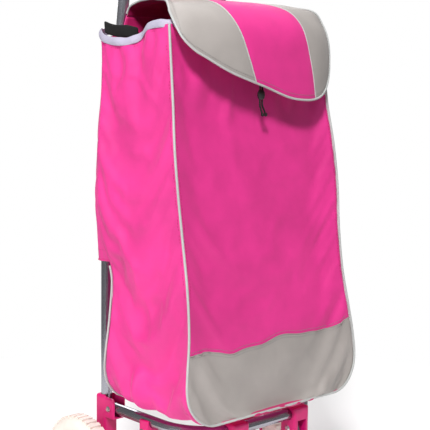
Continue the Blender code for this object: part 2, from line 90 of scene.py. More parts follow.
def rampNode(tree, source, low, high, start=0.3, end=0.7):
    node = tree.nodes.new("ShaderNodeValToRGB")
    node.color_ramp.elements[0].position = start
    node.color_ramp.elements[1].position = end
    node.color_ramp.elements[0].color = (*low, 1)
    node.color_ramp.elements[1].color = (*high, 1)
    tree.links.new(source, node.inputs["Fac"])
    return node.outputs["Color"]


def rangeNode(tree, source, low, high):
    node = tree.nodes.new("ShaderNodeMapRange")
    node.inputs["To Min"].default_value = low
    node.inputs["To Max"].default_value = high
    tree.links.new(source, node.inputs["Value"])
    return node.outputs["Result"]


def mathNode(tree, operation, first, second):
    node = tree.nodes.new("ShaderNodeMath")
    node.operation = operation
    for socket, value in zip(node.inputs, (first, second)):
        if isinstance(value, (int, float)):
            socket.default_value = value
        else:
            tree.links.new(value, socket)
    return node.outputs["Value"]


def bumpNode(tree, height, strength, distance, normal=None):
    node = tree.nodes.new("ShaderNodeBump")
    node.inputs["Strength"].default_value = strength
    node.inputs["Distance"].default_value = distance
    tree.links.new(height, node.inputs["Height"])
    if normal:
        tree.links.new(normal, node.inputs["Normal"])
    return node.outputs["Normal"]


def threadWaves(tree, source, pitch, first, second):
    heights = []
    for direction in (first, second):
        wave = tree.nodes.new("ShaderNodeTexWave")
        wave.bands_direction = direction
        wave.inputs["Scale"].default_value = 0.314 / pitch
        wave.inputs["Distortion"].default_value = 0.6
        wave.inputs["Detail"].default_value = 1.0
        tree.links.new(source, wave.inputs["Vector"])
        heights.append(wave.outputs["Fac"])
    return heights


def shade(colour, factor):
    return tuple(min(1.0, part * factor) for part in colour)


def wovenCloth(name, colour, pitch=0.0011, sheen=0.08, roughness=0.62, crease=0.0012):
    material, tree, shader = shaderOf(name)
    place = tree.nodes.new("ShaderNodeTexCoord").outputs["UV"]
    body = tree.nodes.new("ShaderNodeTexCoord").outputs["Object"]
    across, along = threadWaves(tree, place, pitch, "X", "Y")
    weave = mathNode(tree, "MAXIMUM", across, along)
    blotch = noiseNode(tree, body, 14.0, 4.0)
    tint = rampNode(tree, blotch, shade(colour, 0.86), shade(colour, 1.08))
    thread = rampNode(tree, weave, (0.80, 0.80, 0.80), (1.0, 1.0, 1.0), 0.0, 0.6)
    mix = tree.nodes.new("ShaderNodeMix")
    mix.data_type = "RGBA"
    mix.blend_type = "MULTIPLY"
    mix.inputs["Factor"].default_value = 0.7
    tree.links.new(tint, mix.inputs["A"])
    tree.links.new(thread, mix.inputs["B"])
    tree.links.new(mix.outputs["Result"], shader.inputs["Base Color"])
    folds = bumpNode(tree, noiseNode(tree, body, 46.0, 5.0, 0.55), 0.35, crease)
    tree.links.new(bumpNode(tree, weave, 0.35, 0.00022, folds), shader.inputs["Normal"])
    tree.links.new(rangeNode(tree, blotch, roughness - 0.08, roughness + 0.08), shader.inputs["Roughness"])
    shader.inputs["Sheen Weight"].default_value = sheen
    shader.inputs["Sheen Roughness"].default_value = 0.4
    return material


def braided(name, colour, pitch=0.0012):
    material, tree, shader = shaderOf(name)
    body = tree.nodes.new("ShaderNodeTexCoord").outputs["Object"]
    across, along = threadWaves(tree, body, pitch, "DIAGONAL", "Z")
    weave = mathNode(tree, "MULTIPLY", across, along)
    tint = rampNode(tree, weave, shade(colour, 0.75), shade(colour, 1.25))
    tree.links.new(tint, shader.inputs["Base Color"])
    tree.links.new(bumpNode(tree, weave, 0.5, 0.0003), shader.inputs["Normal"])
    tree.links.new(rangeNode(tree, weave, 0.55, 0.8), shader.inputs["Roughness"])
    return material


def tubeMetal(name, colour, roughness):
    material, tree, shader = shaderOf(name)
    body = tree.nodes.new("ShaderNodeTexCoord").outputs["Object"]
    stretch = tree.nodes.new("ShaderNodeMapping")
    stretch.inputs["Scale"].default_value = (1.0, 1.0, 0.12)
    tree.links.new(body, stretch.inputs["Vector"])
    drawn = noiseNode(tree, stretch.outputs["Vector"], 420.0, 3.0)
    cloud = noiseNode(tree, body, 18.0, 4.0)
    tint = rampNode(tree, cloud, shade(colour, 0.9), shade(colour, 1.05))
    tree.links.new(tint, shader.inputs["Base Color"])
    worn = mathNode(tree, "MULTIPLY", drawn, cloud)
    tree.links.new(rangeNode(tree, worn, roughness - 0.03, roughness + 0.10), shader.inputs["Roughness"])
    tree.links.new(bumpNode(tree, drawn, 0.02, 0.0001), shader.inputs["Normal"])
    shader.inputs["Metallic"].default_value = 1.0
    return material


def mouldedPlastic(name, colour, roughness=0.38, grain=600.0, strength=0.10):
    material, tree, shader = shaderOf(name)
    body = tree.nodes.new("ShaderNodeTexCoord").outputs["Object"]
    fine = noiseNode(tree, body, grain, 2.0)
    cloud = noiseNode(tree, body, 30.0, 4.0)
    tint = rampNode(tree, cloud, shade(colour, 0.9), shade(colour, 1.08))
    tree.links.new(tint, shader.inputs["Base Color"])
    tree.links.new(rangeNode(tree, cloud, roughness - 0.05, roughness + 0.10), shader.inputs["Roughness"])
    tree.links.new(bumpNode(tree, fine, strength, 0.0002), shader.inputs["Normal"])
    return material


pinkWeave = wovenCloth("pinkWeave", pinkCloth)
greyWeave = wovenCloth("greyWeave", greyCloth, roughness=0.46)
liningWeave = wovenCloth("liningWeave", (0.60, 0.010, 0.15), sheen=0.03)
lilacNylon = wovenCloth("lilacNylon", lilac, 0.0007, 0.1, 0.45, 0.0020)
pipingWeave = wovenCloth("pipingWeave", silverPiping, 0.0008, 0.05, 0.45, 0.0004)
blackLoops = wovenCloth("blackLoops", blackThread, 0.0012, 0.0, 0.95, 0.0030)
blackBraid = braided("blackBraid", blackThread)
pinkThread = braided("pinkThread", (0.50, 0.012, 0.13), 0.0005)
greyThread = braided("greyThread", (0.30, 0.29, 0.28), 0.0005)
tubeSilver = tubeMetal("tubeSilver", (0.37, 0.37, 0.41), 0.22)
boltChrome = tubeMetal("boltChrome", (0.72, 0.72, 0.74), 0.16)
pinkMoulding = mouldedPlastic("pinkMoulding", (0.62, 0.004, 0.15))
creamTread = mouldedPlastic("creamTread", (0.80, 0.71, 0.64), 0.5, 300.0, 0.15)
blackMoulding = mouldedPlastic("blackMoulding", (0.014, 0.012, 0.013), 0.42)
blackFoam = mouldedPlastic("blackFoam", (0.022, 0.020, 0.021), 0.8, 900.0, 0.5)
boardBlack = mouldedPlastic("boardBlack", (0.03, 0.03, 0.032), 0.7)


def dressNodes(material, *names):
    for name in names:
        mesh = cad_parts[name].data
        mesh.materials.clear()
        mesh.materials.append(material)


def bothSides(*words):
    return [side + word for side in ("left_", "right_") for word in words]


dressNodes(tubeSilver, "left_upright", "right_upright", "handle_tube", "lower_crossbar", "upper_crossbar")
dressNodes(tubeSilver, "platform_tube", "stand_tube")
dressNodes(boltChrome, "axle", *bothSides("platform_rivet", "stand_pin", "clip_rivet"))
dressNodes(boltChrome, *bothSides("axle_spacer", "axle_cap", "tab_snap"))
dressNodes(pinkMoulding, *bothSides("ferrule", "bracket", "stand_socket", "bag_clip", "hub"))
dressNodes(boardBlack, "base_board")


def newObject(name, data, *materials):
    item = bpy.data.objects.new(name, data)
    bpy.context.scene.collection.objects.link(item)
    for material in materials:
        item.data.materials.append(material)
    return item


def meshFrom(name, points, faces, materials, uvs=None, slots=None, smooth=True):
    mesh = bpy.data.meshes.new(name)
    mesh.from_pydata([tuple(point) for point in points], [], faces)
    if uvs:
        layer = mesh.uv_layers.new(name="cut")
        for loop in mesh.loops:
            layer.data[loop.index].uv = uvs[loop.vertex_index]
    for face in mesh.polygons:
        face.use_smooth = smooth
        if slots:
            face.material_index = slots[face.index]
    mesh.update()
    return newObject(name, mesh, *materials)


def flatten(item):
    # the evaluated shape becomes a plain mesh, and every modifier goes
    graph = bpy.context.evaluated_depsgraph_get()
    graph.update()
    mesh = bpy.data.meshes.new_from_object(item.evaluated_get(graph))
    name = item.name
    bpy.data.objects.remove(item, do_unlink=True)
    mesh.name = name
    done = bpy.data.objects.new(name, mesh)
    bpy.context.scene.collection.objects.link(done)
    return done


def subdivided(item, level=1):
    modifier = item.modifiers.new("Smooth", "SUBSURF")
    modifier.levels = level
    modifier.render_levels = level
    return item


def thickened(item, thickness, offset=-1.0):
    modifier = item.modifiers.new("Cloth thickness", "SOLIDIFY")
    modifier.thickness = thickness
    modifier.offset = offset
    return item


def pipe(name, points, radius, material, closed=False, resolution=3):
    # a welt or cord that follows points, with a UV along its length
    curve = bpy.data.curves.new(name, "CURVE")
    curve.dimensions = "3D"
    curve.bevel_depth = radius
    curve.bevel_resolution = resolution
    curve.use_fill_caps = not closed
    spline = curve.splines.new("POLY")
    spline.points.add(len(points) - 1)
    spline.use_cyclic_u = closed
    spline.use_smooth = True
    for point, at in zip(spline.points, points):
        point.co = (*at, 1.0)
    item = newObject(name, curve, material)
    return flatten(item)


def smoothLine(points, parts=4):
    padded = [Vector(points[0])] + [Vector(at) for at in points] + [Vector(points[-1])]
    route = []
    for a, b, c, d in zip(padded, padded[1:], padded[2:], padded[3:]):
        for part in range(parts):
            t = part / parts
            square = (2 * a - 5 * b + 4 * c - d) * t ** 2
            cube = (3 * b - a - 3 * c + d) * t ** 3
            route.append(0.5 * (2 * b + (c - a) * t + square + cube))
    route.append(Vector(points[-1]))
    return route


def ease(value, low, high):
    t = min(max((value - low) / (high - low), 0.0), 1.0)
    return t * t * (3 - 2 * t)


def alongTable(value, stops):
    # a smooth curve through (place, value) stops
    value = min(max(value, stops[0][0]), stops[-1][0])
    last = len(stops) - 1
    slopes = []
    for at in range(last + 1):
        (a, first), (b, second) = stops[max(at - 1, 0)], stops[min(at + 1, last)]
        slopes.append((second - first) / (b - a))
    for at, ((a, first), (b, second)) in enumerate(zip(stops, stops[1:])):
        if value <= b:
            span = b - a
            t = (value - a) / span
            bend = slopes[at] * span * t * (1 - t) ** 2 - slopes[at + 1] * span * t * t * (1 - t)
            return first + (second - first) * t * t * (3 - 2 * t) + bend
    return stops[-1][1]


def buildTree(name, inputs):
    tree = bpy.data.node_groups.new(name, "GeometryNodeTree")
    face = tree.interface
    face.new_socket("Geometry", in_out="INPUT", socket_type="NodeSocketGeometry")
    sockets = {}
    for label, kind, value in inputs:
        socket = face.new_socket(label, in_out="INPUT", socket_type=kind)
        if value is not None:
            socket.default_value = value
        sockets[label] = socket.identifier
    face.new_socket("Geometry", in_out="OUTPUT", socket_type="NodeSocketGeometry")
    return tree, sockets


def paintCopies(tree, place, material, end):
    # real copies in one material, which is how every tree here ends
    add, join = tree.nodes.new, tree.links.new
    real = add("GeometryNodeRealizeInstances")
    join(place.outputs["Instances"], real.inputs["Geometry"])
    paint = add("GeometryNodeSetMaterial")
    join(real.outputs["Geometry"], paint.inputs["Geometry"])
    join(material, paint.inputs["Material"])
    join(paint.outputs["Geometry"], end.inputs["Geometry"])


def makeStitchTree():
    tree, sockets = buildTree("stitchRow", [
        ("Spacing", "NodeSocketFloat", 0.004), ("Stitch length", "NodeSocketFloat", 0.0026),
        ("Thread radius", "NodeSocketFloat", 0.00035), ("Thread", "NodeSocketMaterial", None),
    ])
    add, join = tree.nodes.new, tree.links.new
    start, end = add("NodeGroupInput"), add("NodeGroupOutput")
    line = add("GeometryNodeMeshToCurve")
    join(start.outputs["Geometry"], line.inputs["Mesh"])
    spaced = add("GeometryNodeResampleCurve")
    spaced.mode = "LENGTH"
    join(line.outputs["Curve"], spaced.inputs["Curve"])
    join(start.outputs["Spacing"], spaced.inputs["Length"])
    bead = add("GeometryNodeMeshUVSphere")
    bead.inputs["Segments"].default_value = 6
    bead.inputs["Rings"].default_value = 4
    bead.inputs["Radius"].default_value = 1.0
    half = add("ShaderNodeMath")
    half.operation = "MULTIPLY"
    half.inputs[1].default_value = 0.5
    join(start.outputs["Stitch length"], half.inputs[0])
    size = add("ShaderNodeCombineXYZ")
    join(start.outputs["Thread radius"], size.inputs["X"])
    join(start.outputs["Thread radius"], size.inputs["Y"])
    join(half.outputs["Value"], size.inputs["Z"])
    tangent = add("GeometryNodeInputTangent")
    turn = add("FunctionNodeAlignRotationToVector")
    turn.axis = "Z"
    join(tangent.outputs["Tangent"], turn.inputs["Vector"])
    place = add("GeometryNodeInstanceOnPoints")
    join(spaced.outputs["Curve"], place.inputs["Points"])
    join(bead.outputs["Mesh"], place.inputs["Instance"])
    join(turn.outputs["Rotation"], place.inputs["Rotation"])
    join(size.outputs["Vector"], place.inputs["Scale"])
    paintCopies(tree, place, start.outputs["Thread"], end)
    return tree, sockets


def makeTreadTree():
    tree, sockets = buildTree("treadLugs", [
        ("Count", "NodeSocketInt", 44), ("Radius", "NodeSocketFloat", 0.074),
        ("Lug size", "NodeSocketVector", (0.009, 0.0062, 0.003)), ("Rubber", "NodeSocketMaterial", None),
    ])
    add, join = tree.nodes.new, tree.links.new
    start, end = add("NodeGroupInput"), add("NodeGroupOutput")
    ring = add("GeometryNodeMeshCircle")
    join(start.outputs["Count"], ring.inputs["Vertices"])
    join(start.outputs["Radius"], ring.inputs["Radius"])
    lug = add("GeometryNodeMeshCube")
    join(start.outputs["Lug size"], lug.inputs["Size"])
    at = add("GeometryNodeInputPosition")
    turn = add("FunctionNodeAlignRotationToVector")
    turn.axis = "Y"
    turn.pivot_axis = "Z"
    join(at.outputs["Position"], turn.inputs["Vector"])
    place = add("GeometryNodeInstanceOnPoints")
    join(ring.outputs["Mesh"], place.inputs["Points"])
    join(lug.outputs["Mesh"], place.inputs["Instance"])
    join(turn.outputs["Rotation"], place.inputs["Rotation"])
    paintCopies(tree, place, start.outputs["Rubber"], end)
    return tree, sockets


stitchTree, stitchSockets = makeStitchTree()
treadTree, treadSockets = makeTreadTree()


def stitchLine(name, routes, thread, spacing=0.0042, length=0.0028, radius=0.00038):
    points, edges = [], []
    for route in routes:
        first = len(points)
        points += [tuple(at) for at in route]
        edges += [(first + at, first + at + 1) for at in range(len(route) - 1)]
    mesh = bpy.data.meshes.new(name)
    mesh.from_pydata(points, edges, [])
    item = newObject(name, mesh)
    modifier = item.modifiers.new("Stitches", "NODES")
    modifier.node_group = stitchTree
    modifier[stitchSockets["Spacing"]] = spacing
    modifier[stitchSockets["Stitch length"]] = length
    modifier[stitchSockets["Thread radius"]] = radius
    modifier[stitchSockets["Thread"]] = thread
    return flatten(item)


cameraPlan = {
    "place": (-1.066, -1.113 + shift, 0.6306), "azimuth": 43.1, "pitch": 7.1, "roll": 0.8, "lens": 91.3,
}


def makeCamera(plan):
    azimuth, pitch, roll = (math.radians(plan[key]) for key in ("azimuth", "pitch", "roll"))
    level = math.cos(pitch)
    ahead = Vector((math.sin(azimuth) * level, math.cos(azimuth) * level, -math.sin(pitch)))
    right = Vector((math.cos(azimuth), -math.sin(azimuth), 0.0))
    up = right.cross(ahead)
    across = right * math.cos(roll) + up * math.sin(roll)
    upward = up * math.cos(roll) - right * math.sin(roll)
    data = bpy.data.cameras.new("camera")
    data.lens = plan["lens"]
    data.sensor_width = 36.0
    item = newObject("camera", data)
    turn = Matrix((across, upward, -ahead)).transposed()
    item.matrix_world = Matrix.Translation(plan["place"]) @ turn.to_4x4()
    bpy.context.scene.camera = item


lamps = {
    "keyLight": {"place": (-1.6, -1.5, 2.3), "size": 0.4, "power": 78.0},
    "sideLight": {"place": (-2.2, 0.3, 0.9), "size": 0.8, "power": 17.0},
    "topLight": {"place": (0.3, 0.2, 2.6), "size": 1.6, "power": 26.0},
    "backLight": {"place": (1.5, 1.9, 1.4), "size": 1.2, "power": 18.0},
}
studio = {"backdrop": 1.0, "fill": 0.24, "floorRadius": 0.95}


def makeLights():
    for name, lamp in lamps.items():
        data = bpy.data.lights.new(name, "AREA")
        data.size = lamp["size"]
        data.energy = lamp["power"]
        item = newObject(name, data)
        aim = Vector((0.0, 0.0, 0.45)) - Vector(lamp["place"])
        turn = aim.to_track_quat("-Z", "Y").to_matrix().to_4x4()
        item.matrix_world = Matrix.Translation(lamp["place"]) @ turn
    # the backdrop is seen as white, while the light that it sheds is softer
    world = bpy.data.worlds.new("studio")
    world.use_nodes = True
    tree = world.node_tree
    seen = tree.nodes.new("ShaderNodeLightPath").outputs["Is Camera Ray"]
    background = tree.nodes["Background"]
    background.inputs["Color"].default_value = (1.0, 1.0, 1.0, 1.0)
    level = rangeNode(tree, seen, studio["fill"], studio["backdrop"])
    tree.links.new(level, background.inputs["Strength"])
    bpy.context.scene.world = world


def makeFloor():
    bm = bmesh.new()
    bmesh.ops.create_circle(bm, cap_ends=True, segments=96, radius=studio["floorRadius"])
    mesh = bpy.data.meshes.new("studioFloor")
    bm.to_mesh(mesh)
    bm.free()
    material, tree, shader = shaderOf("paleFloor")
    body = tree.nodes.new("ShaderNodeTexCoord").outputs["Object"]
    cloud = noiseNode(tree, body, 1.2, 2.0)
    tree.links.new(rampNode(tree, cloud, (0.93, 0.93, 0.93), (0.97, 0.97, 0.97)), shader.inputs["Base Color"])
    shader.inputs["Roughness"].default_value = 0.7
    newObject("studioFloor", mesh, material)


makeCamera(cameraPlan)
makeLights()
makeFloor()
print("camera, lights and floor are set")

bagLow, bagHigh = cornersOf("bag_body")
bag = {
    "widths": [(0.0, 0.332), (0.06, 0.330), (0.12, 0.314), (0.18, 0.304), (0.24, 0.305),
               (0.30, 0.310), (0.36, 0.308), (0.42, 0.298), (0.48, 0.295), (0.53, 0.297)],
    "frontIn": [(0.0, 0.0), (0.06, 0.005), (0.12, 0.011), (0.18, 0.021), (0.24, 0.030),
                (0.30, 0.037), (0.36, 0.046), (0.42, 0.056), (0.48, 0.063), (0.53, 0.066)],
    "rimDrop": [(0.0, 0.0), (0.30, 0.004), (0.47, 0.019), (0.71, 0.023), (0.91, 0.019), (1.0, 0.014)],
    "cornerRadius": 0.050, "arcRows": 9, "rows": 60, "columns": 44, "depthColumns": 28,
    "grow": -0.034, "frames": 24, "cap": 0.012, "cloth": 0.0016, "piping": 0.0017,
}
bagBackLow = 0.070 + shift
bagBackHigh = 0.103 + shift
bagFloorZ = bagLow.z + 0.001


def bagHalf(z):
    return alongTable(z - bagLow.z, bag["widths"]) / 2


def bagFront(z):
    return bagLow.y + 0.0006 + alongTable(z - bagLow.z, bag["frontIn"])


def bagBack(z):
    return bagBackLow + (bagBackHigh - bagBackLow) * ease(z, 0.345, 0.44)


def rimDrop(x, y):
    # how far the rim hangs below its front edge at a place in plan
    front, back = bagFront(bagHigh.z), bagBackHigh
    share = min(max((y - front) / (back - front), 0.0), 1.0)
    side = ease(abs(x) / bagHalf(bagHigh.z), 0.55, 0.98)
    return alongTable(share, bag["rimDrop"]) * side + 0.004 * ease(share, 0.5, 1.0) * (1 - side)


def pinch(y):
    # the side of the rim folds inwards behind its front corner
    return 0.007 * math.exp(-((y - shift - 0.020) / 0.011) ** 2)


def greySeam(x):
    # height of the lower panel's wavy top edge across the front
    share = x / 0.165
    return 0.280 + 0.0035 * share + 0.0030 * math.sin(share * 6.2 + 0.6) + 0.0014 * math.sin(share * 15.0)


def bagOutline():
    # half width and height of each row, from the floor of the bag to its rim
    radius = bag["cornerRadius"]
    rows = []
    for step in range(bag["arcRows"]):
        turn = math.pi / 2 * step / bag["arcRows"]
        z = bagFloorZ + radius * (1 - math.cos(turn))
        rows.append((bagHalf(z) - radius + radius * math.sin(turn), z))
    first = bagFloorZ + radius
    for step in range(bag["rows"] + 1):
        z = first + (bagHigh.z - first) * step / bag["rows"]
        rows.append((bagHalf(z), z))
    return rows


def creases(x, y, z, seed):
    # small rumples, which lean as cloth does under its own weight
    slant = Vector((x * 6.0 + seed, y * 9.0 + z * 4.0, z * 9.0 - y * 5.0))
    broad = noise.noise(slant)
    sharp = 1.0 - abs(noise.noise(slant * 2.3 + Vector((3.1, 0.0, seed)))) * 2.6
    return broad * 0.0045 + max(sharp, 0.0) ** 3 * 0.0030


def gussetBulge(share, at, side):
    # how far a side panel stands out between its two welts
    dip = math.sin(math.pi * share)
    low = ease(at.z, 0.60, 0.25)
    rumple = creases(at.x, at.y, at.z, 11.0 * side) * 1.6
    pleats = math.sin(share * 23.0 + 2.0 * math.sin(share * 9.0)) * 0.0075 * ease(at.z, 0.275, 0.195)
    slant = at.y - shift + 0.45 * (at.z - 0.36)
    drag = 0.0066 * math.sin(slant * 74.0) * ease(at.z, 0.50, 0.36) * (0.35 + share)
    return dip * (0.004 - 0.009 * low + rumple + drag) + pleats * dip ** 0.5


def makeBagMesh():
    rows = bagOutline()
    columns, depth = bag["columns"], bag["depthColumns"]
    points, faces, slots, uvs, fixed = [], [], [], [], []
    seamRow = min(range(len(rows)), key=lambda at: abs(rows[at][1] - 0.281))

    def rowHeight(at, x):
        # rows bend to follow the grey seam near it, and are level again away from it
        z = rows[at][1]
        pull = (greySeam(x) - rows[seamRow][1]) * (1 - ease(abs(z - rows[seamRow][1]), 0.0, 0.10))
        return z + pull

    def put(x, y, z, u, v, hold):
        points.append(Vector((x, y, z)))
        uvs.append((u, v))
        fixed.append(hold)
        return len(points) - 1

    grids = {}
    for face in ("front", "back"):
        grid = []
        for at, (half, z) in enumerate(rows):
            line = []
            for column in range(columns + 1):
                x = half * (2 * column / columns - 1)
                height = rowHeight(at, x) if face == "front" else z
                y = bagFront(height) if face == "front" else bagBack(height)
                edge = column in (0, columns) or at == 0
                hold = 1.0 if edge or at == len(rows) - 1 else 0.0
                middle = 1 - (2 * column / columns - 1) ** 2
                swell = middle * math.sin(math.pi * min(max((z - bagFloorZ) / 0.5, 0.0), 1.0)) * 0.006
                rumple = creases(x, 0.0, z, 2.0 if face == "front" else 7.0) * middle
                out = -1 if face == "front" else 1
                near = 1 - hold
                line.append(put(x, y + out * (swell * 0.8 + rumple * 0.7) * near, height, x, z, hold))
            grid.append(line)
        grids[face] = grid
        for at in range(len(rows) - 1):
            for column in range(columns):
                a, b = grid[at][column], grid[at][column + 1]
                c, d = grid[at + 1][column + 1], grid[at + 1][column]
                faces.append((a, b, c, d) if face == "front" else (d, c, b, a))
                slots.append(1 if face == "front" and at < seamRow else 0)
    last = len(rows) - 1
    outlineFront = [grids["front"][at][0] for at in range(last, 0, -1)] + grids["front"][0]
    outlineFront += [grids["front"][at][columns] for at in range(1, last + 1)]
    outlineBack = [grids["back"][at][0] for at in range(last, 0, -1)] + grids["back"][0]
    outlineBack += [grids["back"][at][columns] for at in range(1, last + 1)]
    strip = []
    length = 0.0
    for at, (front, back) in enumerate(zip(outlineFront, outlineBack)):
        if at:
            length += (points[front] - points[outlineFront[at - 1]]).length
        first, final = points[front], points[back]
        line = [front]
        floor = last <= at <= last + columns
        side = -1 if at < last + columns / 2 else 1
        for step in range(1, depth):
            share = step / depth
            at3 = first.lerp(final, share)
            top = at in (0, len(outlineFront) - 1)
            hold = 1.0 if floor or top else 0.0
            if not floor and not top:
                at3.x += side * gussetBulge(share, at3, side)
            line.append(put(at3.x, at3.y, at3.z, at3.y, length, hold))
        line.append(back)
        strip.append(line)
    for at in range(len(strip) - 1):
        for step in range(depth):
            faces.append((strip[at][step], strip[at][step + 1], strip[at + 1][step + 1], strip[at + 1][step]))
            slots.append(0)
    for at in points:
        near = ease(at.z, 0.60, bagHigh.z)
        on = ease(abs(at.x), 0.10, 0.14)
        at.x -= math.copysign(pinch(at.y), at.x) * near * on
        at.z -= rimDrop(at.x, at.y) * near
    item = meshFrom("bagCloth", points, faces, (pinkWeave, greyWeave, liningWeave), uvs, slots)
    return item, fixed, outlineFront, outlineBack, grids["front"][seamRow]


def settle(item, fixed, plan):
    # the cloth is cut a little large and falls into folds between its seams
    rest = [vertex.co.copy() for vertex in item.data.vertices]
    hold = item.vertex_groups.new(name="seams")
    for index, weight in enumerate(fixed):
        hold.add([index], weight, "REPLACE")
    modifier = item.modifiers.new("Cloth", "CLOTH")
    cloth = modifier.settings
    cloth.quality = 6
    cloth.mass = 0.25
    cloth.tension_stiffness = 18
    cloth.compression_stiffness = 18
    cloth.shear_stiffness = 8
    cloth.bending_stiffness = 0.35
    cloth.vertex_group_mass = "seams"
    cloth.shrink_min = plan["grow"]
    cloth.shrink_max = plan["grow"]
    cloth.use_pressure = True
    cloth.uniform_pressure_force = plan.get("pressure", 0.25)
    modifier.collision_settings.use_collision = False
    modifier.point_cache.frame_start = 1
    modifier.point_cache.frame_end = plan["frames"]
    scene = bpy.context.scene
    for step in range(1, plan["frames"] + 1):
        scene.frame_set(step)
    graph = bpy.context.evaluated_depsgraph_get()
    settled = [vertex.co.copy() for vertex in item.evaluated_get(graph).data.vertices]
    item.modifiers.remove(modifier)
    scene.frame_set(1)
    for vertex, before, after in zip(item.data.vertices, rest, settled):
        move = after - before
        if move.length > plan["cap"]:
            move *= plan["cap"] / move.length
        vertex.co = before + move
    item.vertex_groups.clear()
    item.data.update()


bagCloth, bagFixed, frontWelt, backWelt, seamWelt = makeBagMesh()
settle(bagCloth, bagFixed, bag)
bagPoints = [vertex.co.copy() for vertex in bagCloth.data.vertices]
bagTree = BVHTree.FromObject(bagCloth, bpy.context.evaluated_depsgraph_get())
subdivided(bagCloth)
thickened(bagCloth, bag["cloth"])
bagCloth.modifiers["Cloth thickness"].material_offset = 2
bagCloth = flatten(bagCloth)


def onBag(points, lift):
    # moves points onto the cloth and a little outside it
    placed = []
    for at in points:
        spot, normal, index, distance = bagTree.find_nearest(at)
        placed.append(spot + normal * lift)
    return placed


def flattenBagPiece(piece):
    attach(piece, "frame")
    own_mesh(piece)


def weltRoute(indices, highest):
    return smoothLine([bagPoints[at] for at in indices[::2] if bagPoints[at].z < highest], 3)


weltFront = pipe("bagFrontPiping", weltRoute(frontWelt, 0.72), bag["piping"], pipingWeave)
weltBack = pipe("bagBackPiping", weltRoute(backWelt, 0.385), bag["piping"] * 0.85, pipingWeave)
seamRoute = onBag([bagPoints[at] for at in seamWelt], 0.0004)
weltSeam = pipe("lowerPanelSeam", seamRoute, 0.0006, greyWeave)
below = onBag([bagPoints[at] - Vector((0, 0, 0.0045)) for at in seamWelt[1:-1]], 0.0002)
above = onBag([bagPoints[at] + Vector((0, 0, 0.0045)) for at in seamWelt[1:-1]], 0.0002)
seamStitches = stitchLine("lowerPanelStitches", [below, above], greyThread)


def insetLine(indices, sideways, inward):
    # a stitch line beside a welt, on the gusset or on a panel
    return onBag([bagPoints[at] + Vector((0, sideways, 0)) + inward(bagPoints[at]) for at in indices], 0.0002)


def nowhere(at):
    return Vector()


def towardMiddle(at):
    return Vector((-0.005 if at.x > 0 else 0.005, 0.0, 0.0))


sideStitches = stitchLine("gussetStitches", [
    insetLine(frontWelt[2:46], 0.0055, nowhere), insetLine(frontWelt[-46:-2], 0.0055, nowhere),
    insetLine(frontWelt[2:46], 0.0, towardMiddle), insetLine(frontWelt[-46:-2], 0.0, towardMiddle),
], pinkThread)
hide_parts("bag_body", "front_lower_panel")
for piece in (bagCloth, weltFront, weltBack, weltSeam, seamStitches, sideStitches):
    flattenBagPiece(piece)
print("the bag is made")


wing = {"cloth": 0.0014, "rows": 64, "radius": 0.0120, "side": 16, "arc": 12, "inner": 10, "rumple": 0.0022}


def uprightX(z):
    return 0.1235 - max(0.0, z - 0.460) * math.tan(math.radians(6.0))


def wingRoute(side, z, lift=0.0):
    # plan of the pocket round an upright: from the bag's side, round the tube, to the bag's back
    centre = Vector((uprightX(z), uprightY))
    start = Vector((bagHalf(z) - 0.0008 + lift, bagBack(z) - 0.002))
    end = Vector((uprightX(z) - 0.032, bagBack(z) + 0.0005 + lift))
    radius = wing["radius"] + lift
    turns = []
    for at, way in ((start, 1), (end, -1)):
        away = at - centre
        turns.append(math.atan2(away.y, away.x) + way * math.acos(min(radius / away.length, 1.0)))
    first = centre + Vector((math.cos(turns[0]), math.sin(turns[0]))) * radius
    last = centre + Vector((math.cos(turns[1]), math.sin(turns[1]))) * radius
    out = Vector(((first - start).y, -(first - start).x)).normalized()
    route = []
    for step in range(wing["side"]):
        share = step / wing["side"]
        route.append(start.lerp(first, share) + out * 0.0045 * math.sin(math.pi * share))
    for step in range(wing["arc"]):
        turn = turns[0] + (turns[1] - turns[0]) * step / wing["arc"]
        route.append(centre + Vector((math.cos(turn), math.sin(turn))) * radius)
    for step in range(wing["inner"] + 1):
        route.append(last.lerp(end, step / wing["inner"]))
    return [Vector((side * at.x, at.y)) for at in route]


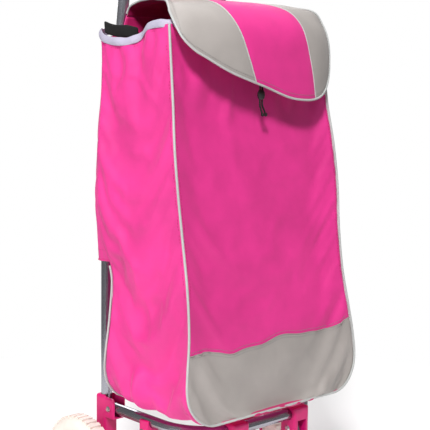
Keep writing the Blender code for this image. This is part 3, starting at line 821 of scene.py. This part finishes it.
def makeWing(side, word):
    low, high = cornersOf(word + "_sleeve")
    points, faces, uvs = [], [], []
    across = 0
    for row in range(wing["rows"] + 1):
        rise = row / wing["rows"]
        level = low.z + (high.z - 0.0002 - low.z) * rise
        route = wingRoute(side, level)
        across = len(route)
        travel = 0.0
        for step, at in enumerate(route):
            travel += (at - route[max(step - 1, 0)]).length
            before, after = route[max(step - 1, 0)], route[min(step + 1, across - 1)]
            out = Vector(((after - before).y, -(after - before).x)).normalized() * -side
            z = level - 0.004 * math.sin(math.pi * step / across) * (1 - ease(rise, 0.0, 0.2))
            fold = noise.noise(Vector((travel * 42 + 5 * side, 3.0, z * 15)))
            sharp = max(1 - abs(noise.noise(Vector((travel * 30, side, z * 21 + travel * 30))) * 3), 0) ** 3
            free = math.sin(math.pi * min(step / wing["side"], 1.0)) if step < wing["side"] else 0.25
            amount = (fold * wing["rumple"] + sharp * 0.0014) * free
            amount = max(amount, -0.0012)
            points.append(Vector((at.x + out.x * amount, at.y + out.y * amount, z)))
            uvs.append((travel, z))
    for row in range(wing["rows"]):
        for step in range(across - 1):
            a = row * across + step
            quad = (a, a + 1, a + across + 1, a + across)
            faces.append(quad if side > 0 else quad[::-1])
    item = meshFrom(word + "WingCloth", points, faces, (pinkWeave, liningWeave), uvs)
    hems = []
    for row in (3, wing["rows"] - 6):
        hems.append([points[row * across + step] for step in range(1, across - 1)])
    edge = [points[step] for step in range(across)]
    thickened(item, wing["cloth"])
    item.modifiers["Cloth thickness"].material_offset = 1
    subdivided(item)
    item = flatten(item)
    stitches = stitchLine(word + "WingStitches", hems, pinkThread)
    hem = pipe(word + "WingHem", edge, 0.0009, pinkWeave)
    for piece in (item, stitches, hem):
        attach(piece, "frame")
    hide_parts(word + "_sleeve")


makeWing(-1, "left")
makeWing(1, "right")
print("the pockets round the uprights are made")

collar = {"height": 0.0115, "wave": 0.0030, "thickness": 0.0012, "parts": 260, "levels": 6}


def collarPlan():
    # the rim in plan, once round, with a loop round each upright
    half, front, back = bagHalf(bagHigh.z), bagFront(bagHigh.z), bagBackHigh
    corner = 0.014
    right = []
    for step in range(9):
        right.append(Vector(((half - corner) * step / 8, front)))
    for step in range(1, 7):
        turn = math.pi / 2 * step / 6
        x = half - corner + corner * math.sin(turn)
        right.append(Vector((x, front + corner - corner * math.cos(turn))))
    sideSteps = 16
    length = back - 0.006 - front - corner
    for step in range(1, sideSteps + 1):
        y = front + corner + length * step / sideSteps
        right.append(Vector((half - pinch(y), y)))
    loop = wingRoute(1, bagHigh.z - 0.02, 0.0012)
    right += loop[2::2]
    for step in range(1, 6):
        right.append(Vector((loop[-1].x * (1 - step / 6), back)))
    right.append(Vector((0.0, back)))
    left = [Vector((-at.x, at.y)) for at in right[-2:0:-1]]
    return right + left


def evenly(route, parts):
    # the same closed line with evenly spaced points
    closed = route + route[:1]
    lengths = [0.0]
    for a, b in zip(closed, closed[1:]):
        lengths.append(lengths[-1] + (b - a).length)
    even, at = [], 0
    for part in range(parts):
        travel = lengths[-1] * part / parts
        while lengths[at + 1] < travel:
            at += 1
        share = (travel - lengths[at]) / (lengths[at + 1] - lengths[at])
        even.append(closed[at].lerp(closed[at + 1], share))
    return even


rimPlan = evenly(collarPlan(), collar["parts"])


def makeCollar():
    points, faces, uvs, hem = [], [], [], []
    parts, levels = collar["parts"], collar["levels"]
    for part, at in enumerate(rimPlan):
        ahead = rimPlan[(part + 2) % parts] - rimPlan[part - 2]
        out = Vector((ahead.y, -ahead.x, 0.0)).normalized()
        turn = math.tau * part / parts
        ripple = math.sin(turn * 23) * 0.4 + math.sin(turn * 37 + 1.0) * 0.3
        ripple += noise.noise(Vector((at.x * 70, at.y * 70, 5.0)))
        behind = ease(at.y - shift, 0.100, 0.112)
        foot = bagHigh.z - 0.0040 - rimDrop(at.x, at.y) * (1 - 0.35 * behind)
        plan = Vector((at.x, at.y, 0.0))
        hem.append(plan + out * 0.0006 + Vector((0, 0, foot - 0.0030)))
        for level in range(levels):
            rise = level / (levels - 1)
            belly = math.sin(math.pi * (rise * 0.8 + 0.1))
            lean = 0.0014 - 0.0020 * rise + belly * (0.0022 + collar["wave"] * ripple * 0.5)
            z = foot + (collar["height"] + 0.0012 * ripple) * rise
            points.append(plan + out * lean + Vector((0, 0, z)))
            uvs.append((part * 0.004, z))
    for part in range(parts):
        after = (part + 1) % parts
        for level in range(levels - 1):
            a, b = part * levels + level, after * levels + level
            faces.append((a, b, b + 1, a + 1))
    item = meshFrom("collarBand", points, faces, (lilacNylon,), uvs)
    thickened(item, collar["thickness"])
    subdivided(item)
    return flatten(item), stitchLine("rimStitches", [hem + hem[:1]], pinkThread)


collarBand, rimStitches = makeCollar()
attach(collarBand, "frame")
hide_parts("collar")
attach(rimStitches, "frame")

tape = {"front": 0.030, "back": 0.098, "frontZ": 0.6890, "backZ": 0.6985, "height": 0.0165, "inset": 0.0052}


def makeTape(side, word):
    # a strip of hook-and-loop tape sewn inside the rim, standing a little above it
    points, faces, uvs = [], [], []
    steps, levels = 28, 5
    for step in range(steps + 1):
        share = step / steps
        y = tape["front"] + (tape["back"] - tape["front"]) * share + shift
        x = bagHalf(bagHigh.z) - pinch(y) - tape["inset"] + 0.0012 * math.sin(share * 9.0)
        middle = tape["frontZ"] + (tape["backZ"] - tape["frontZ"]) * share + 0.0014 * math.sin(share * 7.0)
        for level in range(levels + 1):
            rise = level / levels - 0.5
            z = middle + tape["height"] * rise
            points.append(Vector((side * (x + 0.0016 * rise), y, z)))
            uvs.append((y, z))
    row = levels + 1
    for step in range(steps):
        for level in range(levels):
            a = step * row + level
            quad = (a, a + row, a + row + 1, a + 1)
            faces.append(quad if side > 0 else quad[::-1])
    item = meshFrom(word + "FasteningTape", points, faces, (blackLoops,), uvs)
    thickened(item, 0.0040, 0.0)
    subdivided(item)
    item = flatten(item)
    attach(item, "frame")
    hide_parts(word + "_fastening_strap")


makeTape(-1, "left")
makeTape(1, "right")
print("the collar and tapes are made")


def makeTab():
    low, high = cornersOf("hanging_tab")
    points, faces, uvs = [], [], []
    rows, columns = 60, 30
    for row in range(rows + 1):
        rise = row / rows
        z = low.z + (high.z - low.z) * rise
        for column in range(columns + 1):
            across = 2 * column / columns - 1
            half = (high.x - low.x) / 2 * (1 - 0.03 * math.sin(math.pi * rise))
            y = low.y + 0.0008 + 0.0008 * noise.noise(Vector((across * 3, 4.0, z * 18)))
            y -= 0.0030 * math.sin(math.pi * rise) * (1 - across * across)
            points.append(Vector((across * half, y, z)))
            uvs.append((across * half, z))
    row = columns + 1
    for at in range(rows):
        for column in range(columns):
            a = at * row + column
            faces.append((a, a + 1, a + row + 1, a + row))
    item = meshFrom("hangingTabCloth", points, faces, (pinkWeave,), uvs)
    lines = []
    for column in (2, columns - 2):
        lines.append([points[at * row + column] - Vector((0, 0.0004, 0)) for at in range(1, rows)])
    for at in (rows - 3, 3):
        lines.append([points[at * row + column] - Vector((0, 0.0004, 0)) for column in range(1, columns)])
    edges = [points[at * row] for at in range(rows + 1)]
    edges += [points[rows * row + column] for column in range(1, columns + 1)]
    edges += [points[at * row + columns] for at in range(rows - 1, -1, -1)]
    thickened(item, 0.0014, 1.0)
    item = flatten(item)
    binding = pipe("hangingTabBinding", edges, 0.0013, pinkWeave)
    stitches = stitchLine("hangingTabStitches", lines, pinkThread)
    for piece in (item, binding, stitches):
        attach(piece, "frame")
    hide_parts("hanging_tab")


makeTab()
print("the hanging tab is made")

flap = {
    "rows": 44, "leftColumns": 16, "midColumns": 24, "rightColumns": 12,
    "thickness": 0.0016, "piping": 0.0016, "crest": 0.0005, "reach": 0.152,
    "hem": [(-0.152, 0.714), (-0.150, 0.699), (-0.140, 0.6776), (-0.125, 0.665), (-0.078, 0.641),
            (-0.011, 0.621), (0.035, 0.607), (0.070, 0.6035), (0.095, 0.605), (0.115, 0.612),
            (0.132, 0.625), (0.145, 0.643), (0.152, 0.660)],
    "halves": [(0.0, 0.108), (0.2, 0.113), (0.4, 0.132), (0.55, 0.147), (0.7, 0.152), (1.0, 0.152)],
    "leftSeam": (-0.135, -0.028), "rightSeam": (0.036, 0.094),
}
flapTop = cornersOf("flap")[1].z - flap["crest"]
flapProfile = smoothLine([
    Vector((0.0965, 0.7160, 0.0)), Vector((0.0860, flapTop - 0.0085, 0.0)),
    Vector((0.0560, flapTop - 0.0015, 0.0)), Vector((0.0160, flapTop, 0.0)),
    Vector((-0.0220, flapTop - 0.0030, 0.0)), Vector((-0.0500, flapTop - 0.0120, 0.0)),
    Vector((-0.0680, flapTop - 0.0300, 0.0)), Vector((-0.0775, flapTop - 0.0540, 0.0)),
    Vector((-0.0810, flapTop - 0.0850, 0.0)), Vector((-0.0830, flapTop - 0.1400, 0.0)),
], 10)


def profileLengths():
    lengths = [0.0]
    for a, b in zip(flapProfile, flapProfile[1:]):
        lengths.append(lengths[-1] + (b - a).length)
    return lengths


flapLengths = profileLengths()
flapWhole = flapLengths[-1]


def profileAt(travel):
    # the (y, z) of the dome's middle section at a distance from its back seam
    for at, (a, b) in enumerate(zip(flapLengths, flapLengths[1:])):
        if travel <= b:
            spot = flapProfile[at].lerp(flapProfile[at + 1], (travel - a) / (b - a))
            return spot.x, spot.y
    return flapProfile[-1].x, flapProfile[-1].y


def travelTo(height):
    # the distance from the back seam at which the front of the section is this high
    for at in range(len(flapProfile) - 1, 0, -1):
        a, b = flapProfile[at], flapProfile[at - 1]
        if a.y <= height <= b.y:
            share = (height - a.y) / (b.y - a.y)
            return flapLengths[at] + (flapLengths[at - 1] - flapLengths[at]) * share
    return flapWhole * 0.5


def flapPoint(across, share):
    # across runs from -1 at the left edge to 1 at the right edge, share from the back seam to the hem
    travel = travelTo(alongTable(across * flap["reach"], flap["hem"])) * share
    portion = travel / flapWhole
    x = across * alongTable(portion, flap["halves"])
    y, z = profileAt(travel)
    side = abs(x) / flap["reach"]
    droop = (0.009 if x < 0 else 0.0045) * side ** 4 * math.sin(math.pi * min(portion * 1.5, 1.0))
    pull = (0.020 if x < 0 else 0.030) * side ** 4 * ease(portion, 0.35, 0.62)
    return Vector((x, y + shift + pull, z - droop))


def makeFlap():
    left, mid, right = flap["leftColumns"], flap["midColumns"], flap["rightColumns"]
    total = left + mid + right
    points, faces, slots, uvs = [], [], [], []
    for row in range(flap["rows"] + 1):
        share = row / flap["rows"]
        seams = []
        for back, front in (flap["leftSeam"], flap["rightSeam"]):
            seams.append((back + (front - back) * share) / flap["reach"])
        stops = (-1.0, seams[0], seams[1], 1.0)
        for column in range(total + 1):
            if column <= left:
                across = stops[0] + (stops[1] - stops[0]) * column / left
            elif column <= left + mid:
                across = stops[1] + (stops[2] - stops[1]) * (column - left) / mid
            else:
                across = stops[2] + (stops[3] - stops[2]) * (column - left - mid) / right
            at = flapPoint(across, share)
            wave = noise.noise(Vector((at.x * 16, share * 7, 3.3))) * 0.0018
            hollow = sum(math.exp(-((across - seam) / 0.035) ** 2) for seam in seams) * -0.0013
            up = ease(1 - share, 0.25, 0.6)
            lift = (wave + hollow) * min(share * 6, 1.0)
            points.append(at + Vector((0, -lift * (1 - up), lift * up)))
            uvs.append((at.x, share * 0.27))
    row = total + 1
    for at in range(flap["rows"]):
        for column in range(total):
            a = at * row + column
            faces.append((a + row, a + row + 1, a + 1, a))
            slots.append(1 if column < left or column >= left + mid else 0)
    item = meshFrom("flapCloth", points, faces, (pinkWeave, greyWeave, liningWeave), uvs, slots)
    rows = flap["rows"]
    hem = [points[at * row] for at in range(rows + 1)]
    hem += [points[rows * row + column] for column in range(1, total + 1)]
    hem += [points[at * row + total] for at in range(rows - 1, -1, -1)]
    back = [points[column] for column in range(total + 1)]
    seams = [[points[at * row + column] for at in range(rows + 1)] for column in (left, left + mid)]
    inner = [
        [points[at * row + 1] for at in range(2, rows - 1)],
        [points[(rows - 1) * row + column] for column in range(1, total)],
        [points[at * row + total - 1] for at in range(2, rows - 1)],
    ]
    return item, hem, back, seams, inner


flapCloth, hemRoute, backRoute, flapSeams, flapInner = makeFlap()
flapTree = BVHTree.FromObject(flapCloth, bpy.context.evaluated_depsgraph_get())


def onFlap(points, lift):
    placed = []
    for at in points:
        spot, normal, index, distance = flapTree.find_nearest(at)
        placed.append(spot + normal * lift)
    return placed


thickened(flapCloth, flap["thickness"])
flapCloth.modifiers["Cloth thickness"].material_offset = 2
subdivided(flapCloth)
flapCloth = flatten(flapCloth)
flapPieces = [
    flapCloth,
    pipe("flapPiping", smoothLine(hemRoute[1::2], 3), flap["piping"], pipingWeave),
    pipe("flapBackBinding", backRoute, 0.0012, pinkWeave),
    pipe("flapLeftSeam", onFlap(flapSeams[0], 0.0003), 0.0009, pipingWeave),
    pipe("flapRightSeam", onFlap(flapSeams[1], 0.0003), 0.0009, pipingWeave),
    stitchLine("flapStitches", [onFlap(route, 0.0003) for route in flapInner], greyThread),
]
for piece in flapPieces:
    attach(piece, "flap")
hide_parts("flap")


def makeHingeStrip():
    # the cloth between the flap's back seam and the bag's back panel
    points, faces, uvs = [], [], []
    levels, columns = 6, 40
    for level in range(levels + 1):
        rise = level / levels
        for column in range(columns + 1):
            x = (2 * column / columns - 1) * (0.112 - 0.004 * rise)
            wave = 0.0007 * noise.noise(Vector((x * 45, rise * 2, 1.7)))
            points.append(Vector((x, 0.1012 - 0.0040 * rise ** 2 + shift + wave, 0.6880 + 0.0285 * rise)))
            uvs.append((x, rise * 0.03))
    row = columns + 1
    for level in range(levels):
        for column in range(columns):
            a = level * row + column
            faces.append((a, a + row, a + row + 1, a + 1))
    item = meshFrom("flapHingeStrip", points, faces, (pinkWeave, liningWeave), uvs)
    thickened(item, 0.0014)
    item.modifiers["Cloth thickness"].material_offset = 1
    item = flatten(item)
    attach(item, "frame")


makeHingeStrip()
print("the flap is made")

drawstring = {"radius": 0.0013, "endZ": 0.583, "half": 0.0022, "middleX": -0.0065}


def makeDrawstring():
    lockMiddle = middleOf("cord_lock")
    middle = lockMiddle.y - shift
    for side, word in ((-1, "left"), (1, "right")):
        stops = [
            (side * 0.0100, -0.0500, 0.7065), (side * 0.0099, -0.0528, 0.7060),
            (side * 0.0096, -0.0552, 0.7030), (side * 0.0086, -0.0580, 0.6920),
            (side * 0.0066, -0.0615, 0.6720), (side * 0.0044, -0.0650, 0.6500),
            (side * 0.0028, middle + 0.0010, 0.6330), (side * drawstring["half"], middle, 0.6235),
            (side * drawstring["half"], middle, 0.5985), (side * 0.0026 + 0.0022, middle, 0.5920),
            (side * 0.0030 + 0.0066, middle, drawstring["endZ"]),
        ]
        route = [at + Vector((drawstring["middleX"], shift, 0)) for at in smoothLine(stops, 4)]
        cord = pipe(word + "DrawstringEnd", route, drawstring["radius"], blackBraid, resolution=4)
        bm = bmesh.new()
        end = route[-1]
        bmesh.ops.create_uvsphere(bm, u_segments=20, v_segments=14, radius=0.0024)
        for vertex in bm.verts:
            at = vertex.co
            twist = math.atan2(at.y, at.x) * 2 + at.z * 2400
            at *= 1 + 0.16 * math.sin(twist)
            at += end + Vector((0, 0, 0.0006))
        mesh = bpy.data.meshes.new(word + "DrawstringKnot")
        bm.to_mesh(mesh)
        bm.free()
        mesh.polygons.foreach_set("use_smooth", [True] * len(mesh.polygons))
        knot = newObject(word + "DrawstringKnot", mesh, blackBraid)
        for piece in (cord, knot):
            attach(piece, "frame")
        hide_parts(word + "_drawstring")


def makeLock():
    # a sprung barrel lock: a rounded body with thin ribs round it, closed flat at both ends
    low, high = cornersOf("cord_lock")
    middle = (low + high) / 2
    bm = bmesh.new()
    rings = []
    levels = 14
    for level in range(levels + 1):
        rise = level / levels
        z = high.z - (high.z - low.z) * (1 - rise)
        belly = math.sin(math.pi * (0.12 + 0.76 * rise)) ** 0.5
        rib = 0.0004 if level % 4 == 2 else 0.0
        ring = []
        for step in range(28):
            turn = math.tau * step / 28
            across = (high.x - low.x) / 2 * belly + rib
            deep = (high.y - low.y) / 2 * belly + rib
            place = (middle.x + across * math.cos(turn), middle.y + deep * math.sin(turn), z)
            ring.append(bm.verts.new(place))
        rings.append(ring)
    for lower, upper in zip(rings, rings[1:]):
        for step in range(28):
            after = (step + 1) % 28
            bm.faces.new((lower[step], lower[after], upper[after], upper[step]))
    bm.faces.new(rings[0][::-1])
    bm.faces.new(rings[-1])
    mesh = bpy.data.meshes.new("cordLockBody")
    bm.to_mesh(mesh)
    bm.free()
    mesh.polygons.foreach_set("use_smooth", [True] * len(mesh.polygons))
    item = newObject("cordLockBody", mesh, blackMoulding)
    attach(item, "cord_lock")
    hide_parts("cord_lock")


makeDrawstring()
makeLock()
print("the drawstring is made")

tyre = {
    "lugs": 46, "lugHeight": 0.0013, "steps": 96, "seat": 0.0502, "crown": 0.42,
    "grooveAt": 0.42, "groove": 0.0011, "lugSize": (0.0064, 0.0034), "lugReach": 1.15,
}


def lathed(name, outline, centre, steps, material, smooth=True):
    # turns (x, radius) points about the X axis through centre
    bm = bmesh.new()
    rings = []
    for x, radius in outline:
        ring = []
        for step in range(steps):
            turn = math.tau * step / steps
            ring.append(bm.verts.new((
                centre.x + x, centre.y + radius * math.cos(turn), centre.z + radius * math.sin(turn),
            )))
        rings.append(ring)
    for first, second in zip(rings, rings[1:] + rings[:1]):
        for step in range(steps):
            after = (step + 1) % steps
            bm.faces.new((first[step], second[step], second[after], first[after]))
    bmesh.ops.recalc_face_normals(bm, faces=bm.faces)
    mesh = bpy.data.meshes.new(name)
    bm.to_mesh(mesh)
    bm.free()
    mesh.polygons.foreach_set("use_smooth", [smooth] * len(mesh.polygons))
    return newObject(name, mesh, material)


def makeTyre(word):
    low, high = cornersOf(word + "_tyre")
    centre = (low + high) / 2
    half = (high.x - low.x) / 2
    outer = (high.z - low.z) / 2 - tyre["lugHeight"]
    inner = tyre["seat"]
    outline = []
    for step in range(17):
        turn = math.pi * step / 16
        x = -half * math.cos(turn)
        outline.append((x, inner + (outer - inner) * max(math.sin(turn), 0.0) ** tyre["crown"]))
    bands = []
    for x, radius in outline:
        groove = tyre["groove"] if abs(abs(x) - half * tyre["grooveAt"]) < 0.0012 else 0.0
        bands.append((x, radius - groove))
    body = lathed(word + "TyreBody", bands, centre, tyre["steps"], creamTread)
    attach(body, word + "_wheel")
    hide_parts(word + "_tyre")
    mesh = bpy.data.meshes.new(word + "TyreLugs")
    mesh.from_pydata([(0, 0, 0)], [], [])
    lugs = newObject(word + "TyreLugs", mesh)
    modifier = lugs.modifiers.new("Lugs", "NODES")
    modifier.node_group = treadTree
    modifier[treadSockets["Count"]] = tyre["lugs"]
    modifier[treadSockets["Radius"]] = outer - 0.0006
    modifier[treadSockets["Lug size"]] = (*tyre["lugSize"], half * tyre["lugReach"])
    modifier[treadSockets["Rubber"]] = creamTread
    lugs = flatten(lugs)
    lugs.data.transform(Matrix.Translation(centre) @ Matrix.Rotation(math.pi / 2, 4, "Y"))
    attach(lugs, word + "_wheel")


makeTyre("left")
makeTyre("right")

grip = {"bore": 0.0085, "body": 0.0105, "steps": 90, "ribs": 13, "rib": 0.0009}


def makeGrip():
    low, high = cornersOf("grip")
    centre = (low + high) / 2
    half = (high.x - low.x) / 2
    outer = (high.z - low.z) / 2
    outline = [(-half, grip["bore"])]
    for step in range(grip["steps"] + 1):
        share = step / grip["steps"]
        x = half * (2 * share - 1)
        end = min(1.0, (1 - abs(2 * share - 1)) * 9)
        rib = grip["rib"] * (0.5 + 0.5 * math.cos(share * math.tau * grip["ribs"]))
        outline.append((x, grip["body"] + (outer - grip["body"]) * end ** 0.5 - rib * end))
    outline.append((half, grip["bore"]))
    item = lathed("gripFoam", outline, centre, 48, blackFoam)
    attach(item, "frame")
    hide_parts("grip")


makeGrip()
print("the wheels and grip are made")
